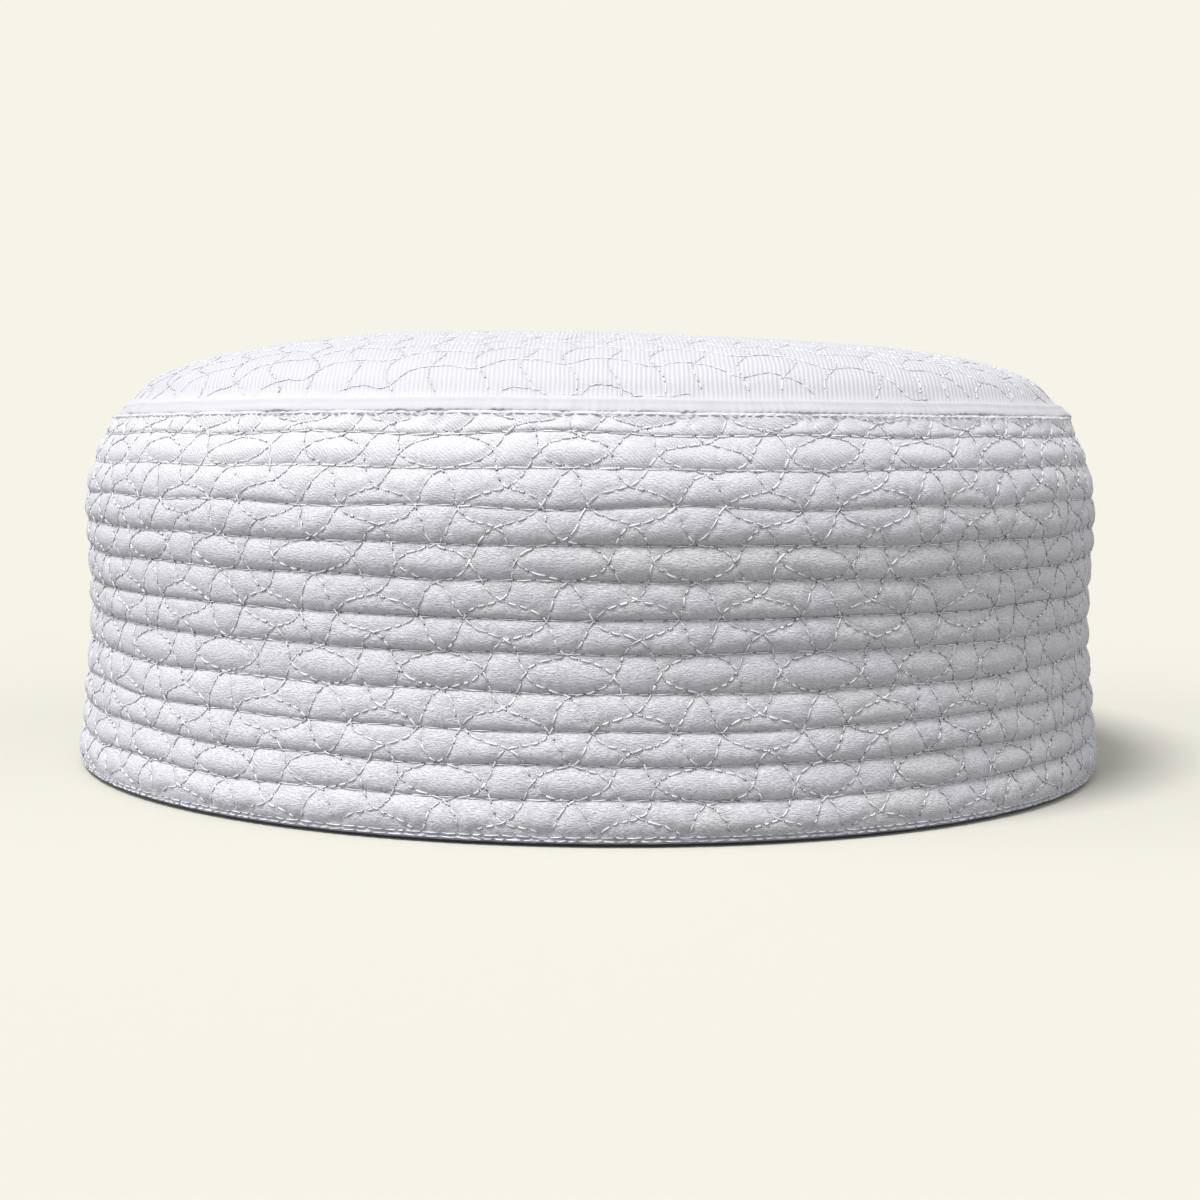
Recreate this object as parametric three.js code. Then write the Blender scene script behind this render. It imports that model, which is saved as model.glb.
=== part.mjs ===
// A round, stiff-sided kufi: a domed crown panel on an upright band of twelve
// horizontal cords quilted between two cloths. A narrow folded welt covers the
// seam at the top of the band, and a bound hem closes the bottom, where the head
// goes in. Millimetres, +Z up, the front at -Y, the origin on the surface that
// the cap stands on, under the middle of the crown.

import * as THREE from 'three';

// Driving dimensions
const outerRadius = 96;       // to the crests of the cords, half way up the band
const bandHeight = 64.9;      // the corded wall, without its hem and its welt
const cordBulge = 0.9;        // how far a cord lifts the outer cloth above its stitch lines
const liningBulge = 0.5;      // the same on the inside, where the cloth is drawn tighter
const wallAtStitches = 1.8;   // the two cloths where they are sewn together
const hemHeight = 1.0;        // the bound edge below the lowest cord
const hemThickness = 3.0;     // how wide the hem is from inside to outside
const weltHeight = 1.8;       // the folded strip over the top seam
const weltLip = 0.5;          // how far the welt stands out past the band's top stitch line
const weltEdge = 1.1;         // how thick the welt's folded lip is
const weltInset = 0.9;        // how far the welt reaches in under the crown's inner face
const crownInset = 3.1;       // how far the crown's foot stands in from the top stitch line
const crownRise = 12.8;       // from the crown's foot to its middle
const crownThickness = 2.0;   // the quilted crown panel
const sewnGap = 0.3;          // clearance between pieces that are sewn to each other
const edgeSettle = 2.2;       // how far the soft top edge has sunk where it sank most

// How the crown's curve rounds off: 2 and 2 would be an ellipse
const crownFullness = 2.67;   // along the radius
const crownShoulder = 2.15;   // up the height

// How finely round shapes are divided
const turnSteps = 52;         // round the cap
const crownSteps = 10;        // from the crown's foot to its middle
const lipSteps = 4;           // round the welt's lip
const lipTurn = 0.9;          // how far the lip rounds over, as a share of half a turn

// The cords from the hem up: how much of the band's height each one takes
const cordRows = [
  { row: 'lowest', share: 0.089 },
  { row: 'second', share: 0.079 },
  { row: 'third', share: 0.082 },
  { row: 'fourth', share: 0.090 },
  { row: 'fifth', share: 0.092 },
  { row: 'sixth', share: 0.082 },
  { row: 'seventh', share: 0.092 },
  { row: 'eighth', share: 0.083 },
  { row: 'ninth', share: 0.089 },
  { row: 'tenth', share: 0.092 },
  { row: 'eleventh', share: 0.082 },
  { row: 'topmost', share: 0.048 },
];

// The outline of the band over its crests: height as a share of the band's
// height, girth as a share of the outer radius
const bandOutline = [
  { height: 0.00, girth: 1.011 },
  { height: 0.04, girth: 1.014 },
  { height: 0.13, girth: 1.006 },
  { height: 0.21, girth: 1.003 },
  { height: 0.30, girth: 0.998 },
  { height: 0.39, girth: 0.995 },
  { height: 0.56, girth: 1.000 },
  { height: 0.74, girth: 1.006 },
  { height: 0.82, girth: 1.001 },
  { height: 0.91, girth: 0.985 },
  { height: 1.00, girth: 0.957 },
];

// Where the welt's lip curls out further or is drawn in: turn in degrees from +X
// towards +Y, spread in degrees to each side, reach as a share of weltLip
const lipCurls = [
  { turn: -3, spread: 15, reach: 1.8 },
  { turn: 96, spread: 30, reach: 0.6 },
  { turn: 178, spread: 42, reach: -2.2 },
  { turn: 246, spread: 24, reach: 0.5 },
];

// Where the top edge has sunk: turn and spread as above, depth as a share of
// edgeSettle
const sunkPlaces = [
  { turn: 180, spread: 85, depth: 1.0 },
  { turn: 0, spread: 60, depth: 0.15 },
];
const settleStart = 0.53;     // the share of the band's height where sinking begins
const settleFade = 5;         // how fast it dies out over the crown: the power of the radius

// Points on one cord, from its lower stitch line towards its upper one
const cordStations = [0, 0.2, 0.5, 0.8];
const liningStations = [0, 0.5];

const crownRadius = stitchRadius(1) - crownInset;
const bandBottom = hemHeight + sewnGap;
const bandTop = bandBottom + bandHeight;
const weltBottom = bandTop + sewnGap;
const weltTop = weltBottom + weltHeight;
const crownFoot = weltTop + sewnGap;

function eased(t) {
  const held = THREE.MathUtils.clamp(t, 0, 1);
  return held * held * (3 - 2 * held);
}

// How strongly an angle in degrees feels a place in one of the tables above
function nearness(angle, place) {
  const away = THREE.MathUtils.euclideanModulo(angle - place.turn + 180, 360) - 180;
  return eased(1 - Math.abs(away) / place.spread);
}

function degreesAt(x, y) {
  return THREE.MathUtils.radToDeg(Math.atan2(y, x));
}

// Lets the soft top edge sink, the same for every piece, so that they stay fitted
function settle(geometry) {
  const place = geometry.getAttribute('position');
  const start = bandBottom + settleStart * bandHeight;
  for (let i = 0; i < place.count; i += 1) {
    const x = place.getX(i);
    const y = place.getY(i);
    const z = place.getZ(i);
    const angle = degreesAt(x, y);
    const depth = sunkPlaces.reduce((sum, sunk) => sum + sunk.depth * nearness(angle, sunk), 0);
    const upward = eased((z - start) / (crownFoot - start));
    const outward = Math.min(Math.hypot(x, y) / crownRadius, 1) ** settleFade;
    place.setZ(i, z - edgeSettle * depth * upward * outward);
  }
  return geometry;
}

// A solid of revolution about Z from an outline listed anticlockwise, with the
// radius across and the height up
function turned(outline) {
  const geometry = new THREE.LatheGeometry(outline, turnSteps);
  geometry.rotateX(Math.PI / 2);
  return geometry;
}

// Joins the end of an outline to its start
function closed(points) {
  return [...points, points[0].clone()];
}

// The outline's girth at a height share, eased between the rows of the table
function girthAt(share) {
  const last = bandOutline.length - 1;
  let i = 0;
  while (i < last - 1 && share > bandOutline[i + 1].height) i += 1;
  const before = bandOutline[Math.max(i - 1, 0)];
  const low = bandOutline[i];
  const high = bandOutline[i + 1];
  const after = bandOutline[Math.min(i + 2, last)];
  const span = high.height - low.height;
  const t = (share - low.height) / span;
  const slopeLow = (high.girth - before.girth) / (high.height - before.height);
  const slopeHigh = (after.girth - low.girth) / (after.height - low.height);
  const t2 = t * t;
  const t3 = t2 * t;
  return (2 * t3 - 3 * t2 + 1) * low.girth + (t3 - 2 * t2 + t) * span * slopeLow
    + (3 * t2 - 2 * t3) * high.girth + (t3 - t2) * span * slopeHigh;
}

// Radius of the outer cloth where it is sewn down, at a share of the band's height
function stitchRadius(share) {
  return girthAt(share) * outerRadius - cordBulge;
}

// Heights of the stitch lines as shares of the band's height, from 0 to 1
function stitchLineShares() {
  const total = cordRows.reduce((sum, cord) => sum + cord.share, 0);
  const lines = [0];
  for (const cord of cordRows) {
    lines.push(lines[lines.length - 1] + cord.share / total);
  }
  return lines;
}

// How full a cord is across its row: 0 at its stitch lines and 1 in the middle
function fullness(t) {
  const across = 2 * t - 1;
  return Math.sqrt(Math.max(0, 1 - across * across));
}

// One face of the band as a list of points from the bottom up. clothRadius gives
// the radius from the height share and the fullness of the cord there.
function cordedFace(stations, clothRadius) {
  const lines = stitchLineShares();
  const points = [];
  for (let row = 0; row < cordRows.length; row += 1) {
    for (const t of stations) {
      const share = lines[row] + t * (lines[row + 1] - lines[row]);
      points.push(new THREE.Vector2(clothRadius(share, fullness(t)), bandBottom + share * bandHeight));
    }
  }
  points.push(new THREE.Vector2(clothRadius(1, 0), bandTop));
  return points;
}

function bandGeometry() {
  const outside = cordedFace(cordStations, (share, full) => stitchRadius(share) + full * cordBulge);
  const inside = cordedFace(
    liningStations,
    (share, full) => stitchRadius(share) - wallAtStitches - full * liningBulge,
  );
  return settle(turned(closed([...outside, ...inside.reverse()])));
}

function hemGeometry() {
  const middle = stitchRadius(0) - wallAtStitches / 2;
  const inner = middle - hemThickness / 2;
  const outer = middle + hemThickness / 2;
  const round = hemHeight / 3;
  return turned(closed([
    new THREE.Vector2(inner + round, 0),
    new THREE.Vector2(outer - round, 0),
    new THREE.Vector2(outer, round),
    new THREE.Vector2(outer, hemHeight - round),
    new THREE.Vector2(outer - round, hemHeight),
    new THREE.Vector2(inner + round, hemHeight),
    new THREE.Vector2(inner, hemHeight - round),
    new THREE.Vector2(inner, round),
  ]));
}

// Pulls the welt's lip out where it curls, and leaves what lies under the crown
function curlLip(geometry, shelf, lip) {
  const place = geometry.getAttribute('position');
  for (let i = 0; i < place.count; i += 1) {
    const x = place.getX(i);
    const y = place.getY(i);
    const radius = Math.hypot(x, y);
    const outward = THREE.MathUtils.clamp((radius - shelf) / (lip - shelf), 0, 1);
    const angle = degreesAt(x, y);
    const reach = lipCurls.reduce((sum, curl) => sum + curl.reach * nearness(angle, curl), 0);
    const scale = 1 + (outward * weltLip * reach) / radius;
    place.setXY(i, x * scale, y * scale);
  }
  return geometry;
}

function weltGeometry() {
  const lip = stitchRadius(1) + weltLip;
  const inner = crownRadius - crownThickness - weltInset;
  const round = weltEdge / 2;
  const outline = [new THREE.Vector2(inner, weltBottom)];
  for (let i = 0; i <= lipSteps; i += 1) {
    const angle = Math.PI * (lipTurn * i / lipSteps - 0.5);
    outline.push(new THREE.Vector2(
      lip - round + round * Math.cos(angle),
      weltBottom + round + round * Math.sin(angle),
    ));
  }
  outline.push(new THREE.Vector2(crownRadius, weltTop));
  outline.push(new THREE.Vector2(crownRadius - crownThickness, weltTop));
  outline.push(new THREE.Vector2(inner, weltTop));
  return settle(curlLip(turned(closed(outline)), crownRadius, lip));
}

// Half of the crown's curve from its foot to its middle
function crownCurve(radius, rise) {
  const points = [];
  for (let i = 0; i <= crownSteps; i += 1) {
    const angle = (Math.PI / 2) * (i / crownSteps);
    const across = i === crownSteps ? 0 : radius * Math.cos(angle) ** (2 / crownFullness);
    points.push(new THREE.Vector2(across, crownFoot + rise * Math.sin(angle) ** (2 / crownShoulder)));
  }
  return points;
}

function crownGeometry() {
  const outside = crownCurve(crownRadius, crownRise);
  const inside = crownCurve(crownRadius - crownThickness, crownRise - crownThickness);
  return settle(turned([...inside.reverse(), ...outside]));
}

function cloth(colour, roughness) {
  return new THREE.MeshStandardMaterial({ color: colour, roughness, metalness: 0 });
}

function piece(name, geometry, material) {
  const mesh = new THREE.Mesh(geometry, material);
  mesh.name = name;
  return mesh;
}

const kufi = new THREE.Group();
kufi.add(
  piece('crown', crownGeometry(), cloth('#e9e9f1', 0.75)),
  piece('seam_welt', weltGeometry(), cloth('#e6e6ee', 0.8)),
  piece('band', bandGeometry(), cloth('#dededf', 0.7)),
  piece('hem_binding', hemGeometry(), cloth('#d9d9de', 0.85)),
);

export default kufi;
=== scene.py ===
"""A white quilted kufi: a domed crown on an upright band of twelve cords.

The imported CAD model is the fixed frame. The cloths are rebuilt over it with
their quilting, welt and hem, and every stitch is laid on them as thread.
Lengths are metres, +Z is up and the front is at -Y.
"""

import math
from collections import namedtuple

import bmesh
import bpy
import numpy as np
from bpy.props import FloatProperty, FloatVectorProperty, IntProperty, PointerProperty
from bpy.types import Operator, Panel, PropertyGroup
from mathutils import Matrix, Vector
from mathutils.kdtree import KDTree


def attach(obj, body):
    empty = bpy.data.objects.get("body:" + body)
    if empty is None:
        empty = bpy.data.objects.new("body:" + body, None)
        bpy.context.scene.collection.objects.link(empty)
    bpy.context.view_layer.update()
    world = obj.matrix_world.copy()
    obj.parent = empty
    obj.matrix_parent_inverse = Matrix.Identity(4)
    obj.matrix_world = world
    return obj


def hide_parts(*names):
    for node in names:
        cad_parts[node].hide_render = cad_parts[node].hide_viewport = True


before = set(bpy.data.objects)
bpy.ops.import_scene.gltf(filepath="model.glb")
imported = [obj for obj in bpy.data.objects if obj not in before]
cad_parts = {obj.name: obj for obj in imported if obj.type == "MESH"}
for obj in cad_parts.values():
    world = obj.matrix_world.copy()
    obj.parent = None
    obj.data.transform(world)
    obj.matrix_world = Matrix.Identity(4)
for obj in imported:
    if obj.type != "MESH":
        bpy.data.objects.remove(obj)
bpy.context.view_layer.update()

bl_info = {
    "name": "White quilted kufi",
    "version": (1, 0, 0),
    "blender": (4, 5, 0),
    "location": "3D View > Sidebar > Kufi",
    "description": "Builds a corded and quilted cotton kufi, its stitching and a plain studio",
    "category": "Add Mesh",
}

MM = 0.001
BODY = "root"
TURN = 2.0 * math.pi

# Rings are spun in this many steps and then divided further
SECTORS = 60

# The cords from the hem up, each as a share of the band's height
CORD_SHARES = (0.089, 0.079, 0.082, 0.090, 0.092, 0.082, 0.092, 0.083, 0.089, 0.092, 0.082, 0.048)

# The band's outline over its crests, as shares of its height and of its radius
Outline = namedtuple("Outline", "height girth")
BAND_OUTLINE = (
    Outline(0.00, 1.011),
    Outline(0.04, 1.014),
    Outline(0.13, 1.006),
    Outline(0.21, 1.003),
    Outline(0.30, 0.998),
    Outline(0.39, 0.995),
    Outline(0.56, 1.000),
    Outline(0.74, 1.006),
    Outline(0.82, 1.001),
    Outline(0.91, 0.985),
    Outline(1.00, 0.957),
)

# Degrees from +X towards +Y, degrees to each side, and a share of the length moved
Place = namedtuple("Place", "turn spread amount")
LIP_CURLS = (Place(-3, 15, 2.15), Place(96, 30, 0.6), Place(178, 42, -1.9), Place(246, 24, 0.2))
SUNK_PLACES = (Place(180, 85, 1.0), Place(0, 60, 0.15))

# How far the crown's foot flares out over the welt and over how much height, how
# much the cords sag, how far each one lifts its cloth from the hem up, where on
# the band the sinking of the top edge begins and how fast it dies out on the crown
FLARE_REACH = 2.0 * MM
FLARE_HEIGHT = 3.0 * MM
CORD_SAG = 0.16
CORD_LIFTS = (1.0, 1.0, 1.0, 1.0, 1.0, 1.0, 1.0, 1.0, 1.0, 0.90, 0.66, 0.66)
SETTLE_START = 0.53
SETTLE_FADE = 5.0

# The quilting's rows of flat ovals: how high each one lies and how far round it
# has slipped, in millimetres. Every second row is half an oval further round.
OvalRow = namedtuple("OvalRow", "height slip")
OVAL_ROWS = (
    OvalRow(74.8, -0.5),
    OvalRow(66.4, -0.9),
    OvalRow(60.4, -2.5),
    OvalRow(51.9, -3.7),
    OvalRow(43.4, -4.4),
    OvalRow(34.7, -3.2),
    OvalRow(26.3, -3.0),
    OvalRow(17.5, -2.7),
    OvalRow(9.6, -2.3),
    OvalRow(1.2, -2.0),
    OvalRow(-7.2, -2.0),
)


def eased(t):
    held = np.clip(t, 0.0, 1.0)
    return held * held * (3.0 - 2.0 * held)


def nearness(degrees, place):
    away = (degrees - place.turn + 180.0) % 360.0 - 180.0
    return eased(1.0 - np.abs(away) / place.spread)


def unit(vectors):
    return vectors / np.linalg.norm(vectors, axis=-1, keepdims=True)


class Wander:
    """A slow seeded wandering over two coordinates, about 1 at its most."""

    def __init__(self, seed, first, second, terms=9, whole=False):
        draw = np.random.default_rng(seed)
        turns = draw.uniform(first[0], first[1], terms) * draw.choice((-1.0, 1.0), terms)
        self.first = np.round(turns) if whole else turns
        self.second = draw.uniform(second[0], second[1], terms) * draw.choice((-1.0, 1.0), terms)
        self.phase = draw.uniform(0.0, TURN, terms)
        self.scale = 1.0 / math.sqrt(terms)

    def __call__(self, a, b):
        total = np.zeros(np.broadcast(a, b).shape)
        for first, second, phase in zip(self.first, self.second, self.phase):
            total += np.cos(first * a + second * b + phase)
        return total * self.scale


def length_field(name, description, mm):
    return FloatProperty(name=name, description=description, default=mm * MM, unit="LENGTH")


def angle_field(name, description, default):
    return FloatProperty(name=name, description=description, default=default, unit="ROTATION")


def number_field(name, description, default):
    return FloatProperty(name=name, description=description, default=default)


def count_field(name, description, default, least):
    return IntProperty(name=name, description=description, default=default, min=least)


def colour_field(name, description, *default):
    return FloatVectorProperty(name=name, description=description, subtype="COLOR", default=default)


class KufiSizes(PropertyGroup):
    """The kufi's driving sizes, as the frame has them."""

    outer_radius: length_field("Outer radius", "To the crests of the cords, half way up", 96)
    band_height: length_field("Band height", "The corded wall without its hem and welt", 64.9)
    cord_bulge: length_field("Cord bulge", "How far a cord lifts its cloth above its seams", 0.9)
    lining_bulge: length_field("Lining bulge", "The same on the inside of the band", 0.5)
    wall_at_stitches: length_field("Wall at stitches", "The two cloths where they are sewn", 1.8)
    hem_height: length_field("Hem height", "The bound edge below the lowest cord", 1)
    hem_thickness: length_field("Hem thickness", "How wide the hem is from inside to outside", 3)
    welt_height: length_field("Welt height", "The folded strip over the top seam", 1.8)
    welt_lip: length_field("Welt lip", "How far the welt stands out past the top stitch line", 0.5)
    welt_inset: length_field("Welt inset", "How far the welt reaches in under the crown", 0.9)
    crown_inset: length_field("Crown inset", "From the top stitch line in to the crown's foot", 3.1)
    crown_rise: length_field("Crown rise", "From the crown's foot to its middle", 12.8)
    crown_thickness: length_field("Crown thickness", "The quilted crown panel", 2)
    sewn_gap: length_field("Sewn gap", "The frame's clearance between pieces that are sewn", 0.3)
    edge_settle: length_field("Edge settle", "How far the soft top edge has sunk at most", 2.2)
    crown_fullness: number_field("Crown fullness", "How it rounds off along its radius", 2.67)
    crown_shoulder: number_field("Crown shoulder", "How it rounds off up its height", 2.15)


class KufiQuilting(PropertyGroup):
    """How the cloths are quilted."""

    ovals_round: count_field("Ovals round the band", "Flat ovals in one row of the band", 30, 4)
    crown_pitch: length_field("Crown pitch", "From one oval to the next across the crown", 13.72)
    crown_row: length_field("Crown row", "From one level quilting line of the crown to the next", 9)
    tuck_depth: length_field("Tuck depth", "How far quilting draws the band's cloth in", 0.42)
    tuck_width: length_field("Tuck width", "How far from its line the cloth is drawn in", 0.85)
    crown_tuck: length_field("Crown tuck", "How far quilting draws the crown's cloth in", 0.27)
    pucker: length_field("Pucker", "How high the cloth gathers between stitches", 0.07)
    columns: count_field("Columns", "How finely the band is divided round the cap", 1140, 60)
    crown_cuts: count_field("Crown divisions", "How finely the crown is divided across", 286, 20)


class KufiColours(PropertyGroup):
    """The kufi's cloths and thread, and what stands round it."""

    band: colour_field("Band cloth", "The white twill of the band", 0.775, 0.775, 0.815)
    crown: colour_field("Crown cloth", "The white ribbed cloth of the crown", 0.636, 0.636, 0.678)
    welt: colour_field("Welt and hem cloth", "The white strips at both edges", 0.61, 0.61, 0.65)
    # Painted shade: the colour the cloth is darkened towards in its tucks and grooves, where shade
    # falls
    painted_crease_shade: colour_field("Creases", "What the cloth turns to deep in its tucks", 0.34, 0.325, 0.325)
    thread: colour_field("Thread", "The glossy white sewing thread", 0.95, 0.95, 0.99)
    # Painted shade: the near black put on the stitches' ends at their needle holes and on the hem's
    # edge against the floor
    painted_deep_shade: colour_field("Needle holes", "Where thread enters the cloth", 0.08, 0.075, 0.085)
    floor: colour_field("Floor", "The plain pale floor", 0.6226, 0.6105, 0.5444)
    backdrop: colour_field("Backdrop", "What is seen above the floor", 0.922, 0.905, 0.807)


class KufiStudio(PropertyGroup):
    """The camera and the lights."""

    distance: length_field("Camera distance", "From the camera to the cap's axis", 430)
    height: length_field("Camera height", "The camera above the floor", 68)
    lens: number_field("Lens", "Focal length in millimetres on a 36 mm sensor", 65.85)
    roll: angle_field("Camera roll", "How far the camera is turned about its line of sight", 0.0115)
    tilt: angle_field("Camera tilt", "How far the camera looks down", math.atan(42.0 / 2195.0))
    shift_across: number_field("Shift across", "Lens shift, as a share of the frame", 8.5 / 1200.0)
    shift_up: number_field("Shift up", "Lens shift, as a share of the frame", -156.0 / 1200.0)
    ambient: number_field("Ambient light", "The even light from all round", 0.40)
    bounce: FloatProperty(
        name="Floor bounce",
        description="How much of its light the floor sends back up at the cap",
        default=0.2,
        subtype="FACTOR",
        min=0.0,
        max=1.0,
    )


# How the band's cloths lie: how full the cords are and how much that varies, how
# far the wall and the rows sway, how near the band's edges that dies out, and the
# least share of its depth that a tuck keeps between two cords
CORD_FILL = 1.07
CORD_RIPPLE = 0.12
WALL_SWAY = 0.16 * MM
ROW_SWAY = 0.22 * MM
EDGE_SHARE = 0.04
LEAST_TUCK = 0.25

# The topmost cord above its crest and the lowest below it are flatter
TOP_CORD_BEND = 0.35
LOW_CORD_BEND = 0.75
CORD_ROUNDNESS = 0.7

# Where the stitches leave the hem for the band's foot, and over how much height
HEM_FOOT = 1.15 * MM
HEM_FOOT_FADE = 0.2 * MM

# How the crown's cloth lies: how far it swells and ripples, how far it is drawn
# down all over and at its foot, how near the foot its relief weakens and how
# much of it stays, where its shoulder is, and how far relief turns sideways there
CROWN_SWELL = 0.22 * MM
CROWN_RIPPLE = 0.07 * MM
CROWN_DRAWN_DOWN = 0.22 * MM
FOOT_DROP = 0.56 * MM
FOOT_FADE = 0.12
FOOT_RELIEF = 0.35
SHOULDER_FROM = 0.72
SHOULDER_SPAN = 0.26
SIDEWAYS = 0.75
ARC_STEPS = 2001


class KufiForm:
    """The kufi's surfaces as functions, worked out from its sizes."""

    def __init__(self, sizes, quilting):
        self.sizes = sizes
        self.quilting = quilting
        total = sum(CORD_SHARES)
        self.lines = np.concatenate(([0.0], np.cumsum(CORD_SHARES) / total))
        self.band_bottom = sizes.hem_height + sizes.sewn_gap
        self.band_top = self.band_bottom + sizes.band_height
        self.welt_bottom = self.band_top + sizes.sewn_gap
        self.welt_top = self.welt_bottom + sizes.welt_height
        self.crown_foot = self.welt_top + sizes.sewn_gap
        self.crown_radius = float(self.stitch_radius(1.0)) - sizes.crown_inset
        self.sway = Wander(11, (1, 6), (10, 60), whole=True)
        self.ripple = Wander(12, (7, 22), (40, 160), whole=True)
        self.line_sway = Wander(13, (3, 17), (60, 420), whole=True)
        self.crown_sway = Wander(14, (20, 80), (20, 80))
        self.crown_ripple = Wander(15, (120, 320), (120, 320))
        self.crown_arc()

    def girth(self, share):
        heights = np.array([row.height for row in BAND_OUTLINE])
        girths = np.array([row.girth for row in BAND_OUTLINE])
        last = len(heights) - 1
        i = np.clip(np.searchsorted(heights, share, side="left") - 1, 0, last - 1)
        before = np.maximum(i - 1, 0)
        after = np.minimum(i + 2, last)
        span = heights[i + 1] - heights[i]
        t = (share - heights[i]) / span
        slope_low = (girths[i + 1] - girths[before]) / (heights[i + 1] - heights[before])
        slope_high = (girths[after] - girths[i]) / (heights[after] - heights[i])
        t2 = t * t
        t3 = t2 * t
        return (
            (2 * t3 - 3 * t2 + 1) * girths[i]
            + (t3 - 2 * t2 + t) * span * slope_low
            + (3 * t2 - 2 * t3) * girths[i + 1]
            + (t3 - t2) * span * slope_high
        )

    def stitch_radius(self, share):
        return self.girth(share) * self.sizes.outer_radius - self.sizes.cord_bulge

    def row_of(self, share):
        row = np.searchsorted(self.lines, share, side="right") - 1
        return np.clip(row, 0, len(CORD_SHARES) - 1)

    def lift_of_cord(self, share):
        return np.array(CORD_LIFTS)[self.row_of(share)]

    def fullness(self, share):
        """0 on a cord's stitch lines and 1 along its crest."""
        row = self.row_of(share)
        t = (share - self.lines[row]) / (self.lines[row + 1] - self.lines[row])
        across = np.clip(2.0 * t - 1.0, -1.0, 1.0)
        across = across + CORD_SAG * (1.0 - across * across)
        top = (row == len(CORD_SHARES) - 1) & (across > 0.0)
        bottom = (row == 0) & (across < 0.0)
        across = across * np.where(top, TOP_CORD_BEND, np.where(bottom, LOW_CORD_BEND, 1.0))
        return (1.0 - across * across) ** CORD_ROUNDNESS

    def share_at(self, height):
        return (height - self.band_bottom) / self.sizes.band_height

    def height_at(self, share):
        return self.band_bottom + share * self.sizes.band_height

    def inside_edges(self, share):
        """1 over the band and 0 at its two sewn edges."""
        return np.clip(np.minimum(share, 1.0 - share) / EDGE_SHARE, 0.0, 1.0)

    def row_sway(self, angle, share):
        height = self.height_at(share)
        return ROW_SWAY * self.line_sway(angle, height) * self.inside_edges(share)

    def settled(self, x, y, z):
        """The points with the soft top edge sunk, as the frame has it."""
        degrees = np.degrees(np.arctan2(y, x))
        depth = sum(place.amount * nearness(degrees, place) for place in SUNK_PLACES)
        start = self.band_bottom + SETTLE_START * self.sizes.band_height
        upward = eased((z - start) / (self.crown_foot - start))
        outward = np.minimum(np.hypot(x, y) / self.crown_radius, 1.0) ** SETTLE_FADE
        drop = self.sizes.edge_settle * depth * upward * outward
        return np.stack((x, y, z - drop), axis=-1)

    def around(self, angle, radius, height):
        return self.settled(radius * np.cos(angle), radius * np.sin(angle), height)

    def band_point(self, angle, share, tuck=0.0, raised=0.0):
        """The band's outer cloth. tuck is how near a quilting line is, up to 1."""
        full = self.fullness(share)
        height = self.height_at(share)
        bulge = self.sizes.cord_bulge * self.lift_of_cord(share) * full
        fill = CORD_FILL + CORD_RIPPLE * self.ripple(angle, height)
        radius = self.stitch_radius(share) + bulge * fill
        radius = radius - self.quilting.tuck_depth * tuck * (LEAST_TUCK + (1.0 - LEAST_TUCK) * full)
        radius = radius + WALL_SWAY * self.sway(angle, height) * self.inside_edges(share) + raised
        return self.around(angle, radius, height + self.row_sway(angle, share))

    def lining_point(self, angle, share):
        full = self.fullness(share)
        sizes = self.sizes
        radius = self.stitch_radius(share) - sizes.wall_at_stitches - full * sizes.lining_bulge
        return self.around(angle, radius, self.height_at(share) + self.row_sway(angle, share))

    def hem_point(self, angle, height):
        """The hem's outer face, and the band's foot just above it."""
        sizes = self.sizes
        on_hem = self.stitch_radius(0.0) - sizes.wall_at_stitches / 2 + sizes.hem_thickness / 2
        share = np.maximum(self.share_at(height), 0.0)
        on_band = self.stitch_radius(share) + sizes.cord_bulge * self.fullness(share)
        above = eased((height - HEM_FOOT) / HEM_FOOT_FADE)
        return self.around(angle, on_hem + (on_band - on_hem) * above, height)

    def crown_arc(self):
        """Tables that turn a share of the way out over the crown into its curve."""
        swing = np.linspace(math.pi / 2, 0.0, ARC_STEPS)
        fullness = 2.0 / self.sizes.crown_fullness
        shoulder = 2.0 / self.sizes.crown_shoulder
        self.arc_radius = np.maximum(np.cos(swing), 0.0) ** fullness
        self.arc_height = np.maximum(np.sin(swing), 0.0) ** shoulder
        across = np.diff(self.arc_radius) * self.crown_radius
        down = np.diff(self.arc_height) * self.sizes.crown_rise
        length = np.concatenate(([0.0], np.cumsum(np.hypot(across, down))))
        self.arc_share = length / length[-1]

    def crown_point(self, x, y, tuck=0.0, raised=0.0):
        """The crown's outer cloth over the flat place (x, y) of its own cloth."""
        out = np.minimum(np.hypot(x, y) / self.crown_radius, 1.0)
        angle = np.arctan2(y, x)
        radius = np.interp(out, self.arc_share, self.arc_radius) * self.crown_radius
        rise = np.interp(out, self.arc_share, self.arc_height) * self.sizes.crown_rise
        foot = np.clip(1.0 - rise / FLARE_HEIGHT, 0.0, 1.0) ** 3.0
        radius = radius + FLARE_REACH * foot
        soft = eased((1.0 - out) / FOOT_FADE)
        sideways = eased((out - SHOULDER_FROM) / SHOULDER_SPAN) * SIDEWAYS
        swell = CROWN_SWELL * self.crown_sway(x, y) + CROWN_RIPPLE * self.crown_ripple(x, y)
        relief = swell - self.quilting.crown_tuck * tuck
        lift = relief * (FOOT_RELIEF + (1.0 - FOOT_RELIEF) * soft) + raised - CROWN_DRAWN_DOWN
        height = self.crown_foot - FOOT_DROP * foot + rise + lift * (1.0 - sideways)
        return self.around(angle, radius + lift * sideways, height)

    def welt_reach(self, angle):
        degrees = np.degrees(angle)
        return sum(place.amount * nearness(degrees, place) for place in LIP_CURLS)


def lie_of(place, a, b, step_a, step_b):
    """Points on a surface and which way is out from it."""
    here = place(a, b)
    along = place(a + step_a, b) - place(a - step_a, b)
    up = place(a, b + step_b) - place(a, b - step_b)
    return here, unit(np.cross(along, up))


# One quilting line as two coordinates on its cloth: angle and share of the height
# on the band, x and y on the crown
Run = namedtuple("Run", "first second")

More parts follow.
